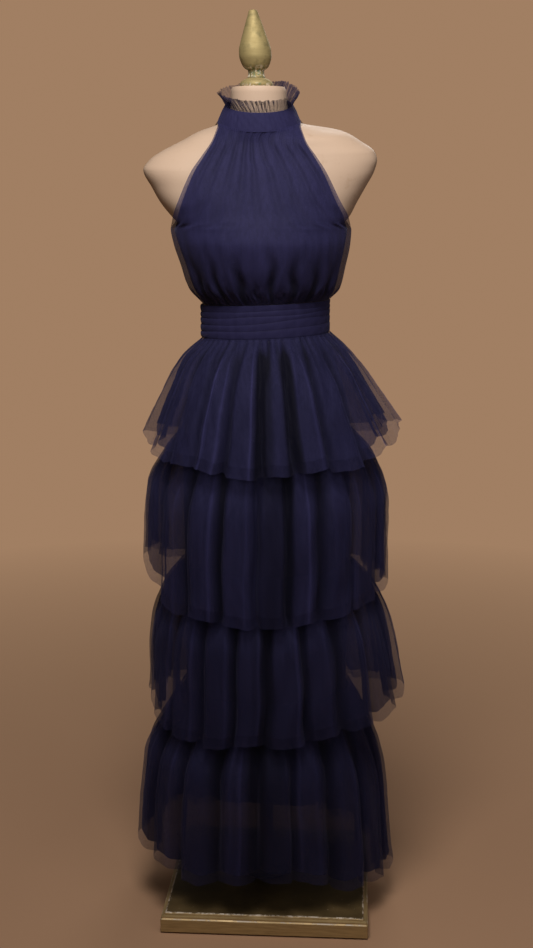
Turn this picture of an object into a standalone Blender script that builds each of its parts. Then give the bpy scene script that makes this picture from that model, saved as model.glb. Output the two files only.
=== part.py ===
"""A tiered tulle halter dress standing on a limbless dress form.

Metres, +Z up, the front faces -Y. The origin is the middle of the base's underside, on the floor.
Angles around the body are in degrees seen from above: 0 is the wearer's left (+X), 90 the back (+Y),
180 the wearer's right (-X) and 270 the front (-Y).
"""

import math

import bpy
from mathutils import Vector

# ---- driving dimensions -------------------------------------------------------------------------
SEAM_GAP = 0.0003          # sewn pieces stand this far apart
TULLE_WALL = 0.0012        # gathered tulle of a tier
BODICE_WALL = 0.0016       # gathered tulle over the chest
LINING_WALL = 0.0014
BAND_WALL = 0.0020
RUFFLE_WALL = 0.0010
RING_SLACK = 0.0006        # room for rings whose facets do not line up

BASE_SIDE = 0.360
BASE_TOP = 0.037
BASE_SHIFT_X = 0.005
BASE_TURN = math.radians(-2.6)
POLE_RADIUS = 0.0125
POLE_FLANGE_RADIUS = 0.042
POLE_FLANGE_HEIGHT = 0.006
POLE_FLANGE_BEVEL = 0.002
NECK_TOP = 1.467
FINIAL_STEPS = 16
FORM_POINTS = 28

BAND_CENTRE_X = -0.0125
BAND_LOW = {"z": 1.4135, "half": 0.0705, "front": 0.062, "back": 0.058}
BAND_TOP = {"z": 1.4385, "half": 0.0575, "front": 0.054, "back": 0.052}
BAND_TILT = 0.30           # the neck line drops this much for each metre towards the front
BAND_POINTS = 40
RUFFLE_HEIGHT = 0.021
RUFFLE_FLARE = 0.0135
RUFFLE_WAVES = 34
RUFFLE_DEPTH = 0.0052
RUFFLE_BASE_SHARE = 0.22   # how much of a wave's depth is left where it is sewn to the band
RUFFLE_UNEVEN = 0.0012     # how much the frill's top edge rises and falls
POINTS_PER_RUFFLE_WAVE = 4

WAIST_TOP = 1.1065
WAIST_BOTTOM = 1.0500
WAIST_TILT = 0.040         # the waistband rises towards +X
WAIST_HALF = 0.1115
WAIST_FRONT = 0.0945
WAIST_BACK = 0.0925
WAIST_WALL = 0.0010
WAIST_PLEATS = 5
WAIST_PLEAT_DEPTH = 0.0020
WAIST_POINTS = 36

LINING_HEM = 0.228
LINING_POINTS = 48

# ---- tables ---------------------------------------------------------------------------------------
# The dress form. z, reach to -X, reach to +X, depth to the front, depth to the back
FORM_SECTIONS = (
    (0.770, 0.124, 0.124, 0.092, 0.100),
    (0.790, 0.130, 0.130, 0.097, 0.105),
    (0.880, 0.1340, 0.1340, 0.101, 0.109),
    (0.960, 0.122, 0.121, 0.091, 0.096),
    (1.040, 0.102, 0.100, 0.077, 0.078),
    (1.085, 0.101, 0.098, 0.077, 0.076),
    (1.130, 0.109, 0.102, 0.087, 0.080),
    (1.170, 0.122, 0.111, 0.104, 0.086),
    (1.205, 0.135, 0.119, 0.113, 0.090),
    (1.230, 0.146, 0.127, 0.109, 0.091),
    (1.242, 0.1540, 0.1345, 0.105, 0.091),
    (1.253, 0.1640, 0.1435, 0.100, 0.091),
    (1.275, 0.1817, 0.155, 0.092, 0.090),
    (1.300, 0.1960, 0.169, 0.0820, 0.083),
    (1.331, 0.2111, 0.1855, 0.070, 0.076),
    (1.347, 0.2007, 0.1892, 0.063, 0.070),
    (1.361, 0.1804, 0.185, 0.058, 0.065),
    (1.378, 0.1455, 0.161, 0.053, 0.060),
    (1.392, 0.118, 0.134, 0.050, 0.055),
    (1.401, 0.091, 0.077, 0.045, 0.047),
    (1.411, 0.065, 0.040, 0.045, 0.046),
    (1.430, 0.0615, 0.0360, 0.046, 0.046),
    (1.464, 0.0600, 0.0330, 0.045, 0.045),
    (1.467, 0.0580, 0.0310, 0.043, 0.043),
)
FORM_SQUARENESS = 2.2
# The sections lean forward with the neck line. z at the side, drop for each metre to the front
FORM_TILT = ((1.275, 0.0), (1.331, 0.06), (1.361, 0.14), (1.392, 0.26), (1.430, 0.30), (1.467, 0.0))

# Outer bodice. z at the sides, side edges to -X and +X (0 where the panel reaches the side seam),
# how far it stands off the form at the side and front
BODICE_ROWS = (
    (1.1300, 0.0, 0.0, 0.0235, 0.025),
    (1.1700, 0.0, 0.0, 0.0240, 0.024),
    (1.2050, 0.0, 0.0, 0.0230, 0.020),
    (1.2300, 0.0, 0.0, 0.0170, 0.017),
    (1.2420, 0.1610, 0.1420, 0.0140, 0.016),
    (1.2530, 0.1580, 0.1385, 0.0130, 0.015),
    (1.2750, 0.1500, 0.1260, 0.0130, 0.014),
    (1.3310, 0.1265, 0.1000, 0.0130, 0.014),
    (1.3610, 0.1095, 0.0840, 0.0140, 0.014),
    (1.3920, 0.0930, 0.0680, 0.0170, 0.015),
)
LINING_EDGE_INSET = 0.008   # the lining's armhole lies this far inside the tulle's
LINING_SHARE = 0.50         # the lining lies this share of the way from the form to the tulle
BODICE_FRONT_FOLDS = 8
BODICE_BACK_FOLDS = 6
BODICE_FOLD_DEPTH = 0.0026
BUST_FOLD_SHARE = 0.30     # how much of a fold's depth is left over the bust
SEAM_FOLD_SHARE = 0.25     # and where it is sewn into a band
LINING_COLUMNS = 13
POINTS_PER_BODICE_FOLD = 4
BAND_SIDE_ANGLE = 14.0     # the front and back leave this much of the band free at each side

# Skirt lining. z, half width, half depth
LINING_ROWS = (
    (1.0480, 0.1075, 0.0880),
    (0.8850, 0.1480, 0.1280),
    (0.6450, 0.1500, 0.1330),
    (0.4150, 0.1500, 0.1340),
    (LINING_HEM, 0.1520, 0.1380),
)

# Outer reach of each tier. share of the way from seam to hem, reach to -X, +X, front and back,
# and how deep the folds cut in
TIER_REACH = {
    1: (
        (0.00, 0.1115, 0.1115, 0.0945, 0.0925, 0.000),
        (0.20, 0.1530, 0.1480, 0.1250, 0.1240, 0.006),
        (0.58, 0.1890, 0.1940, 0.1660, 0.1640, 0.013),
        (1.00, 0.2240, 0.2420, 0.1980, 0.1980, 0.018),
    ),
    2: (
        (0.00, 0.0, 0.0, 0.0, 0.0, 0.000),
        (0.18, 0.1860, 0.1900, 0.1660, 0.1650, 0.008),
        (0.45, 0.2180, 0.2180, 0.1940, 0.1900, 0.016),
        (1.00, 0.2270, 0.2240, 0.2050, 0.2000, 0.020),
    ),
    3: (
        (0.00, 0.0, 0.0, 0.0, 0.0, 0.000),
        (0.18, 0.1850, 0.1900, 0.1670, 0.1660, 0.008),
        (0.45, 0.2110, 0.2230, 0.1960, 0.1920, 0.016),
        (1.00, 0.2240, 0.2590, 0.2080, 0.2040, 0.020),
    ),
    4: (
        (0.00, 0.0, 0.0, 0.0, 0.0, 0.000),
        (0.16, 0.1860, 0.1880, 0.1680, 0.1670, 0.008),
        (0.42, 0.2270, 0.2190, 0.2020, 0.1980, 0.018),
        (1.00, 0.2440, 0.2400, 0.2180, 0.2140, 0.024),
    ),
}
TIER_SEAM = {1: WAIST_BOTTOM, 2: 0.885, 3: 0.645, 4: 0.415}
# Hem height at eight points around, every 45 degrees from +X
TIER_HEM = {
    1: (0.878, 0.852, 0.842, 0.848, 0.862, 0.838, 0.827, 0.840),
    2: (0.592, 0.595, 0.600, 0.612, 0.642, 0.580, 0.570, 0.582),
    3: (0.384, 0.366, 0.358, 0.362, 0.380, 0.346, 0.360, 0.360),
    4: (0.046, 0.072, 0.084, 0.094, 0.104, 0.088, 0.106, 0.068),
}
# Where the ridges of the folds show, in degrees from the front (- is towards -X)
FRONT_RIDGES = {
    1: (-78, -61, -45, -29, -12, 5, 21, 38, 57, 76),
    2: (-74, -52, -32, -13, 3, 18, 35, 54, 76),
    3: (-78, -60, -43, -24, -8, 9, 25, 42, 60, 79),
    4: (-76, -54, -34, -14, 4, 22, 42, 62, 80),
}
RIDGE_HEIGHTS = (1.0, 0.72, 0.92, 0.60, 1.0, 0.80)   # repeated around each tier
BACK_RIDGES = {1: 8, 2: 7, 3: 8, 4: 7}
BACK_RIDGE_DRIFT = 0.16    # how far a back ridge strays from even spacing, as a share of it
POINTS_PER_FOLD = 5
UNDERLAYER_INSET = 0.0060
UNDERLAYER_SHORTER = 0.018

# Turned pieces. radius, height above their own foot
CAP_PROFILE = ((0.0275, 0.0), (0.0285, 0.004), (0.0260, 0.009), (0.0200, 0.0130), (0.0155, 0.0150))
FINIAL_PROFILE = (
    (0.0135, 0.0000), (0.0148, 0.0020), (0.0140, 0.0050), (0.0148, 0.0080), (0.0125, 0.0110),
    (0.0130, 0.0140), (0.0190, 0.0185), (0.0245, 0.0270), (0.0272, 0.0370), (0.0268, 0.0450),
    (0.0235, 0.0580), (0.0180, 0.0740), (0.0128, 0.0900), (0.0082, 0.1020), (0.0040, 0.1085),
    (0.0, 0.1110),
)
FINIAL_X = -0.0170
FINIAL_LEAN = 0.052        # metres towards -X for each metre of height

# Base profile. inset from the side, height
BASE_PROFILE = (
    (0.014, 0.0000), (0.014, 0.0030), (0.000, 0.0035), (0.000, 0.0255), (0.0025, 0.0275),
    (0.0025, 0.0300), (0.0080, 0.0320), (0.0080, 0.0350), (0.0120, BASE_TOP),
)
BASE_CORNER_CUT = 0.002


SMOOTH_ANGLE = math.radians(40)
SHARPEST_CORNER = 0.35     # keeps the inner wall's corners from running away at a tight fold


# ---- small helpers --------------------------------------------------------------------------------
def clear_scene():
    for thing in list(bpy.data.objects):
        bpy.data.objects.remove(thing, do_unlink=True)


def finish_material(name, colour, roughness, metallic=0.0):
    material = bpy.data.materials.new(name)
    material.use_nodes = True
    shader = material.node_tree.nodes["Principled BSDF"]
    shader.inputs["Base Color"].default_value = (*colour, 1.0)
    shader.inputs["Roughness"].default_value = roughness
    shader.inputs["Metallic"].default_value = metallic
    material.diffuse_color = (*colour, 1.0)
    return material


def mix(a, b, share):
    return a + (b - a) * share


def smooth(share):
    share = min(1.0, max(0.0, share))
    return share * share * (3.0 - 2.0 * share)


def table_at(table, key):
    """The columns of a table between its rows, eased so that the shape has no kinks."""
    rows = sorted(table)
    if key <= rows[0][0]:
        return rows[0][1:]
    for i in range(len(rows) - 1):
        low, high = rows[i], rows[i + 1]
        if key <= high[0]:
            share = (key - low[0]) / (high[0] - low[0])
            before = rows[max(i - 1, 0)]
            after = rows[min(i + 2, len(rows) - 1)]
            return tuple(
                hermite(before, low, high, after, column, share) for column in range(1, len(low))
            )
    return rows[-1][1:]


def hermite(before, low, high, after, column, share):
    """A cubic through the two rows, with slopes limited so that it never overshoots."""
    span = high[0] - low[0]
    step = (high[column] - low[column]) / span

    def slope(a, b, inner):
        if b[0] == a[0]:
            return inner
        outer = (b[column] - a[column]) / (b[0] - a[0])
        if outer * inner <= 0.0:
            return 0.0
        return 2.0 * outer * inner / (outer + inner)

    start = slope(before, low, step) * span
    end = slope(high, after, step) * span
    s2, s3 = share * share, share ** 3
    return (
        (2 * s3 - 3 * s2 + 1) * low[column]
        + (s3 - 2 * s2 + share) * start
        + (3 * s2 - 2 * s3) * high[column]
        + (s3 - s2) * end
    )


def inward(points, wall, closed, tilt=0.0):
    """The row moved in by the wall, square to itself seen from above and along a tilted neck line."""
    count = len(points)
    moved = []
    for i, point in enumerate(points):
        normals = []
        for a, b in ((i - 1, i), (i, i + 1)):
            if not closed and (a < 0 or b >= count):
                continue
            along = points[b % count] - points[a % count]
            length = math.hypot(along.x, along.y)
            if length > 1e-9:
                normals.append(Vector((along.y / length, -along.x / length, 0.0)))
        if len(normals) == 2:
            corner = (normals[0] + normals[1]) / max(SHARPEST_CORNER, 1.0 + normals[0].dot(normals[1]))
        else:
            corner = normals[0]
        corner.z = tilt * corner.y
        moved.append(point - corner * wall)
    return moved


def add_object(name, points, faces, material):
    mesh = bpy.data.meshes.new(name)
    mesh.from_pydata([tuple(point) for point in points], [], faces)
    mesh.materials.append(material)
    mesh.update()
    for polygon in mesh.polygons:
        polygon.use_smooth = True
    mesh.set_sharp_from_angle(angle=SMOOTH_ANGLE)
    made = bpy.data.objects.new(name, mesh)
    bpy.context.scene.collection.objects.link(made)
    return made


def strip(first, second, count, closed):
    """Triangles between two rows of points, given the index of each row's first point."""
    faces = []
    for j in range(count if closed else count - 1):
        k = (j + 1) % count
        faces.append((first + j, second + j, second + k))
        faces.append((first + j, second + k, first + k))
    return faces


def tube(name, outer, inner, material):
    """A closed wall around a hollow. The rings of both sides run from the top down, and both sides
    are cut into triangles the same way, so that they stay a wall apart where the cloth twists."""
    count = len(outer[0])
    rings = outer + inner
    points = [point for ring in rings for point in ring]
    starts = [i * count for i in range(len(rings))]
    outside, inside = starts[:len(outer)], starts[len(outer):]
    faces = strip(inside[0], outside[0], count, True)
    faces += strip(outside[-1], inside[-1], count, True)
    for upper, lower in zip(outside, outside[1:]):
        faces += strip(upper, lower, count, True)
    for upper, lower in zip(inside, inside[1:]):
        faces += [face[::-1] for face in strip(upper, lower, count, True)]
    return add_object(name, points, faces, material)


def panel(name, outer, inner, material):
    """A wall that isn't a full ring: rows run from the top down, each from -X to +X seen outside."""
    count, rows = len(outer[0]), len(outer)
    points = [point for row in outer for point in row] + [point for row in inner for point in row]
    back = count * rows
    faces = []
    for i in range(rows - 1):
        faces += strip(i * count, (i + 1) * count, count, False)
        faces += [face[::-1] for face in strip(back + i * count, back + (i + 1) * count, count, False)]
    faces += strip(back, 0, count, False)
    faces += strip((rows - 1) * count, back + (rows - 1) * count, count, False)
    for column, turned_over in ((0, True), (count - 1, False)):
        for i in range(rows - 1):
            a, b = i * count + column, (i + 1) * count + column
            pair = [(a, b, back + b), (a, back + b, back + a)]
            faces += [face[::-1] for face in pair] if turned_over else pair
    return add_object(name, points, faces, material)


def solid(name, rings, material):
    """A closed body through rings that run from the bottom up, with flat ends."""
    count = len(rings[0])
    points = [point for ring in rings for point in ring]
    faces = [tuple(range(count - 1, -1, -1))]
    for i in range(len(rings) - 1):
        faces += [face[::-1] for face in strip(i * count, (i + 1) * count, count, True)]
    last = (len(rings) - 1) * count
    faces.append(tuple(range(last, last + count)))
    return add_object(name, points, faces, material)


def turned(name, profile, foot, lean, material):
    """A turned body; a profile that ends at radius 0 closes in a point."""
    rings, tip = [], None
    for radius, height in profile:
        middle = Vector((foot[0] - lean * height, foot[1], foot[2] + height))
        if radius == 0.0:
            tip = middle
            continue
        angles = [2.0 * math.pi * i / FINIAL_STEPS for i in range(FINIAL_STEPS)]
        rings.append([middle + Vector((radius * math.cos(a), radius * math.sin(a), 0)) for a in angles])
    if tip is None:
        return solid(name, rings, material)
    points = [point for ring in rings for point in ring] + [tip]
    faces = [tuple(range(FINIAL_STEPS - 1, -1, -1))]
    for i in range(len(rings) - 1):
        faces += [
            face[::-1] for face in strip(i * FINIAL_STEPS, (i + 1) * FINIAL_STEPS, FINIAL_STEPS, True)
        ]
    last = (len(rings) - 1) * FINIAL_STEPS
    for j in range(FINIAL_STEPS):
        faces.append((last + j, last + (j + 1) % FINIAL_STEPS, len(points) - 1))
    return add_object(name, points, faces, material)


# ---- the dress form and its stand -----------------------------------------------------------------
def form_point(z, angle, out=0.0):
    """A point of the form's skin, moved out by a distance, on the section that has this height at
    the sides."""
    left, right, front, back = table_at(FORM_SECTIONS, z)
    middle, half = (right - left) / 2.0, (right + left) / 2.0 + out
    depth = (front if math.sin(math.radians(angle)) < 0.0 else back) + out
    cosine, sine = math.cos(math.radians(angle)), math.sin(math.radians(angle))
    power = 2.0 / FORM_SQUARENESS
    x = middle + half * math.copysign(abs(cosine) ** power, cosine)
    y = depth * math.copysign(abs(sine) ** power, sine)
    return Vector((x, y, z + y * table_at(FORM_TILT, z)[0]))


def make_form(material):
    rings = []
    for row in FORM_SECTIONS:
        rings.append([form_point(row[0], 360.0 * i / FORM_POINTS) for i in range(FORM_POINTS)])
    return solid("form_torso", rings, material)


def make_base(material):
    rings = []
    for inset, height in BASE_PROFILE:
        half = BASE_SIDE / 2.0 - inset
        cut = half - BASE_CORNER_CUT
        outline = (
            (-cut, -half), (cut, -half), (half, -cut), (half, cut),
            (cut, half), (-cut, half), (-half, cut), (-half, -cut),
        )
        rings.append([Vector((x, y, height)) for x, y in outline])
    base = solid("stand_base", rings, material)
    base.location.x = BASE_SHIFT_X
    base.rotation_euler.z = BASE_TURN
    return base


def make_pole(material):
    foot = BASE_TOP + SEAM_GAP
    profile = (
        (POLE_FLANGE_RADIUS, 0.0),
        (POLE_FLANGE_RADIUS, POLE_FLANGE_HEIGHT),
        (POLE_RADIUS, POLE_FLANGE_HEIGHT + POLE_FLANGE_BEVEL),
        (POLE_RADIUS, FORM_SECTIONS[0][0] - SEAM_GAP - foot),
    )
    return turned("stand_pole", profile, (0.0, 0.0, foot), 0.0, material)


# ---- neck -----------------------------------------------------------------------------------------
def band_point(row, angle, out=0.0, lift=0.0):
    """A point on the tilted neck line; the lift is measured up from the row."""
    depth = (row["front"] if math.sin(math.radians(angle)) < 0.0 else row["back"]) + out
    x = BAND_CENTRE_X + (row["half"] + out) * math.cos(math.radians(angle))
    y = depth * math.sin(math.radians(angle))
    return Vector((x, y, row["z"] + BAND_TILT * y + lift))


def make_neck_band(material):
    """One strip that starts and ends at the centre back, where its ends all but meet."""
    slit = math.degrees(SEAM_GAP / BAND_TOP["back"])
    angles = [90.0 + slit + (360.0 - 2.0 * slit) * i / BAND_POINTS for i in range(BAND_POINTS + 1)]
    outer = [[band_point(row, a) for a in angles] for row in (BAND_TOP, BAND_LOW)]
    inner = [inward(row, BAND_WALL, False, BAND_TILT) for row in outer]
    return panel("neck_band", outer, inner, material)


def make_neck_ruffle(material):
    """A frill that stands up from the band and opens outward; no two waves are quite alike."""
    points = RUFFLE_WAVES * POINTS_PER_RUFFLE_WAVE
    outer = []
    for share in (1.0, 0.0):
        ring = []
        for i in range(points):
            turn = i / POINTS_PER_RUFFLE_WAVE
            wave = 0.5 - 0.5 * math.cos(2.0 * math.pi * turn)
            uneven = 1.0 + 0.15 * math.sin(1.7 * turn)
            out = RUFFLE_FLARE * share - RUFFLE_DEPTH * mix(RUFFLE_BASE_SHARE, 1.0, share) * wave * uneven
            lift = SEAM_GAP + (RUFFLE_HEIGHT + RUFFLE_UNEVEN * math.sin(2.4 * turn)) * share
            ring.append(band_point(BAND_TOP, 360.0 * i / points, out, lift))
        outer.append(ring)
    inner = [inward(ring, RUFFLE_WALL, True, BAND_TILT) for ring in outer]
    return tube("neck_ruffle", outer, inner, material)


# ---- bodice ---------------------------------------------------------------------------------------
def waist_height(x, height):
    return height + WAIST_TILT * x


def waist_point(angle, height, out=0.0):
    sine, cosine = math.sin(math.radians(angle)), math.cos(math.radians(angle))
    depth = (WAIST_FRONT if sine < 0.0 else WAIST_BACK) + out
    x = (WAIST_HALF + out) * cosine
    return Vector((x, depth * sine, waist_height(x, height)))


def edge_angle(z, out, edge_x):
    """The angle on the form's section, moved out, at which the panel's edge lies."""
    left, right, _, _ = table_at(FORM_SECTIONS, z)
    middle, half = (right - left) / 2.0, (right + left) / 2.0 + out
    share = min(1.0, abs(edge_x - middle) / half)
    angle = math.degrees(math.acos(share ** (FORM_SQUARENESS / 2.0)))
    return 180.0 - angle if edge_x < middle else angle


def bodice_rows(columns, back, inset, share_out, tuck):
    """Rows of the front or back from the neck band down to the waistband, from -X to +X.

    The lining gives its own inset at the armholes, its share of the way from the form out to the
    tulle, and how far it is tucked behind the outer layer at the two bands.
    """
    shares = [i / (columns - 1) for i in range(columns)]
    side = 1.0 if back else -1.0
    seam_slip = math.degrees(SEAM_GAP / WAIST_HALF)

    def across(low, high):
        return [side * mix(low, high, share) for share in shares]

    full = (180.0 - seam_slip, seam_slip)
    at_band = across(180.0 - BAND_SIDE_ANGLE, BAND_SIDE_ANGLE)
    rows = [[band_point(BAND_LOW, a, -tuck, -SEAM_GAP) for a in at_band]]
    for z, left, right, side_out, front_out in sorted(BODICE_ROWS, reverse=True):
        side_out, front_out = side_out * share_out, front_out * share_out
        low, high = full
        if left > 0.0:
            low = edge_angle(z, side_out, inset - left)
            high = edge_angle(z, side_out, right - inset)
        row = []
        for angle in across(low, high):
            out = mix(side_out, front_out, math.sin(math.radians(angle)) ** 2)
            row.append(form_point(z, angle, out))
        rows.append(row)
    rows.append([waist_point(a, WAIST_TOP + SEAM_GAP, -tuck) for a in across(*full)])
    return rows


def row_tilts():
    """How far each bodice row leans towards the front, from the neck band down."""
    leans = [table_at(FORM_TILT, row[0])[0] for row in sorted(BODICE_ROWS, reverse=True)]
    return [BAND_TILT] + leans + [0.0]


def walled(rows, wall, back):
    """Outer and inner rows; the back's rows run the other way round, so they are turned first."""
    outer = [row[::-1] if back else row for row in rows]
    inner = [inward(row, wall, False, tilt) for row, tilt in zip(outer, row_tilts())]
    return outer, inner


def pushed_in(row, amounts):
    """A row moved in, square to itself, by a different amount at each point."""
    unit_in = inward(row, 1.0, False)
    return [point + (moved - point) * amount for point, moved, amount in zip(row, unit_in, amounts)]


def fold_relief(columns, folds, row, rows):
    """Soft gathers: deep under the neck band and over the waistband, faint at the bust."""
    share = row / (rows - 1)
    depth = BODICE_FOLD_DEPTH * mix(BUST_FOLD_SHARE, 1.0, abs(2.0 * share - 1.0) ** 1.5)
    if row in (0, rows - 1):
        depth = BODICE_FOLD_DEPTH * SEAM_FOLD_SHARE
    amounts = []
    for i in range(columns):
        turn = folds * i / (columns - 1)
        uneven = 0.75 + 0.25 * math.sin(2.3 * turn + 0.8)
        amounts.append(depth * uneven * (0.5 - 0.5 * math.cos(2.0 * math.pi * turn)))
    return amounts


def gathered_bodice(folds, back):
    """Outer and inner rows of the gathered tulle over the front or the back."""
    columns = folds * POINTS_PER_BODICE_FOLD + 1
    rows = bodice_rows(columns, back, 0.0, 1.0, 0.0)
    outer, _ = walled(rows, BODICE_WALL, back)
    folded = []
    for i, row in enumerate(outer):
        folded.append(pushed_in(row, fold_relief(columns, folds, i, len(rows))))
    inner = [inward(row, BODICE_WALL, False, tilt) for row, tilt in zip(folded, row_tilts())]
    return folded, inner


def make_bodice(material):
    outer, inner = gathered_bodice(BODICE_FRONT_FOLDS, False)
    panel("bodice_front", outer, inner, material)
    outer, inner = gathered_bodice(BODICE_BACK_FOLDS, True)
    middle = len(outer[0]) // 2
    halves = (
        ("bodice_back_left", slice(0, middle + 1), middle, 1.0),
        ("bodice_back_right", slice(middle, None), 0, -1.0),
    )
    for name, columns, seam, direction in halves:
        aside = Vector((direction * SEAM_GAP, 0.0, 0.0))
        sides = []
        for rows in (outer, inner):
            cut = [[point.copy() for point in row[columns]] for row in rows]
            for row in cut:
                row[seam] += aside
            sides.append(cut)
        panel(name, *sides, material)


def make_bodice_lining(name, back, material):
    tuck = BODICE_WALL + BODICE_FOLD_DEPTH * SEAM_FOLD_SHARE + 2.0 * SEAM_GAP
    rows = bodice_rows(LINING_COLUMNS, back, LINING_EDGE_INSET, LINING_SHARE, tuck)
    panel(name, *walled(rows, LINING_WALL, back), material)


# ---- waistband ------------------------------------------------------------------------------------
def make_waistband(material):
    angles = [360.0 * i / WAIST_POINTS for i in range(WAIST_POINTS)]
    inner_out = -(WAIST_PLEAT_DEPTH + WAIST_WALL)
    outer = []
    steps = WAIST_PLEATS * 2
    for step in range(steps + 1):
        height = mix(WAIST_TOP, WAIST_BOTTOM, step / steps)
        out = 0.0 if step % 2 else -WAIST_PLEAT_DEPTH
        outer.append([waist_point(a, height, out) for a in angles])
    inner = [[waist_point(a, height, inner_out) for a in angles] for height in (WAIST_TOP, WAIST_BOTTOM)]
    return tube("waistband", outer, inner, material)


# ---- skirt ----------------------------------------------------------------------------------------
def lining_point(z, angle, out=0.0):
    half, depth = table_at(LINING_ROWS, z)
    sine, cosine = math.sin(math.radians(angle)), math.cos(math.radians(angle))
    return Vector(((half + out) * cosine, (depth + out) * sine, z))


def make_skirt_lining(material):
    angles = [360.0 * i / LINING_POINTS for i in range(LINING_POINTS)]
    outer = [[lining_point(row[0], a) for a in angles] for row in LINING_ROWS]
    for point in outer[0]:
        point.z = waist_height(point.x, WAIST_BOTTOM) - SEAM_GAP
    inner = [inward(ring, LINING_WALL, True) for ring in outer]
    return tube("skirt_lining", outer, inner, material)


def ridge_angles(tier):
    """Every ridge around a tier, in rising angle: the front's own, the back's evenly spread."""
    front = [270.0 + degrees for degrees in FRONT_RIDGES[tier]]
    gap = (front[0] + 360.0 - front[-1]) / (BACK_RIDGES[tier] + 1)
    back = []
    for i in range(1, BACK_RIDGES[tier] + 1):
        back.append(front[-1] + gap * (i + BACK_RIDGE_DRIFT * math.sin(2.9 * i + tier)))
    return front + back


def fold_samples(tier):
    """Pairs of angle and wave around a tier; the wave is 1 on a full ridge and 0 in a valley."""
    ridges = ridge_angles(tier)
    heights = [RIDGE_HEIGHTS[(i + tier) % len(RIDGE_HEIGHTS)] for i in range(len(ridges))]
    samples = []
    for i, ridge in enumerate(ridges):
        after = ridges[(i + 1) % len(ridges)] + (360.0 if i == len(ridges) - 1 else 0.0)
        for step in range(POINTS_PER_FOLD):
            share = step / POINTS_PER_FOLD
            height = mix(heights[i], heights[(i + 1) % len(ridges)], smooth(share))
            wave = height * (0.5 + 0.5 * math.cos(2.0 * math.pi * share))
            samples.append((mix(ridge, after, share), wave))
    return samples


def hem_height(tier, angle):
    heights = TIER_HEM[tier]
    place = (angle % 360.0) / 45.0
    first = int(place) % 8
    return mix(heights[first], heights[(first + 1) % 8], smooth(place - int(place)))


def tier_rings(tier, shares, inset):
    """Outer rings of one layer of a tier, from its seam down; at a share of 1 they reach the hem."""
    samples = fold_samples(tier)
    rings = []
    for share in shares:
        left, right, front, back, fold_depth = table_at(TIER_REACH[tier], share)
        ring = []
        for angle, wave in samples:
            sine, cosine = math.sin(math.radians(angle)), math.cos(math.radians(angle))
            z = mix(TIER_SEAM[tier] - SEAM_GAP, hem_height(tier, angle), share)
            if share == 0.0 and tier == 1:
                ring.append(waist_point(angle, WAIST_BOTTOM - SEAM_GAP, -inset))
                continue
            if share == 0.0:
                ring.append(lining_point(z, angle, 2.0 * TULLE_WALL + SEAM_GAP + RING_SLACK - inset))
                continue
            reach_x = (right if cosine > 0.0 else left) - inset
            reach_y = (front if sine < 0.0 else back) - inset
            at = Vector((reach_x * cosine, reach_y * sine, 0.0))
            at -= at.normalized() * fold_depth * (1.0 - wave)
            if tier == 1:
                z += WAIST_TILT * at.x * (1.0 - share)
            at.z = z
            ring.append(at)
        rings.append(ring)
    return rings


def make_tier(tier, underlayer, material):
    if underlayer:
        name = f"tier_{tier}_underlayer"
        hem_share = 1.0 - UNDERLAYER_SHORTER / (TIER_SEAM[tier] - min(TIER_HEM[tier]))
        seam = tier_rings(tier, (0.0,), TULLE_WALL + SEAM_GAP)
        rings = seam + tier_rings(tier, (hem_share,), UNDERLAYER_INSET)
    else:
        name = f"tier_{tier}"
        rings = tier_rings(tier, [row[0] for row in TIER_REACH[tier]], 0.0)
    inner = [inward(ring, TULLE_WALL, True) for ring in rings]
    return tube(name, rings, inner, material)


# ---- the whole ------------------------------------------------------------------------------------
def main():
    clear_scene()
    tulle = finish_material("navy_tulle", (0.014, 0.014, 0.060), 0.75)
    lining = finish_material("navy_lining", (0.008, 0.008, 0.032), 0.65)
    skin = finish_material("form_skin", (0.74, 0.50, 0.33), 0.55)
    gold = finish_material("aged_gold", (0.42, 0.29, 0.10), 0.40, 0.85)
    base_paint = finish_material("stand_bronze", (0.16, 0.10, 0.035), 0.45, 0.6)
    steel = finish_material("pole_metal", (0.10, 0.09, 0.08), 0.40, 0.9)

    make_base(base_paint)
    make_pole(steel)
    make_form(skin)
    cap_foot = (FINIAL_X, 0.0, NECK_TOP + SEAM_GAP)
    turned("neck_cap", CAP_PROFILE, cap_foot, 0.0, gold)
    finial_foot = (FINIAL_X, 0.0, cap_foot[2] + CAP_PROFILE[-1][1] + SEAM_GAP)
    turned("finial", FINIAL_PROFILE, finial_foot, FINIAL_LEAN, gold)

    make_neck_band(tulle)
    make_neck_ruffle(tulle)
    make_bodice(tulle)
    make_bodice_lining("bodice_lining_front", False, lining)
    make_bodice_lining("bodice_lining_back", True, lining)
    make_waistband(tulle)
    make_skirt_lining(lining)
    for tier in TIER_REACH:
        make_tier(tier, False, tulle)
        make_tier(tier, True, tulle)


main()
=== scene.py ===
"""The looks of a tiered tulle halter dress on a limbless dress form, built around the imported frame.

Metres, +Z up, the front faces -Y. Angles around the body are in degrees seen from above: 0 is the
wearer's left (+X), 90 the back (+Y), 180 the wearer's right (-X) and 270 the front (-Y). The tables
repeat the construction's own sizes, apart from those that a comment marks as the photograph's, and the
cloth here follows the same surfaces, with finer folds.
"""

import math
from types import SimpleNamespace

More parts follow.
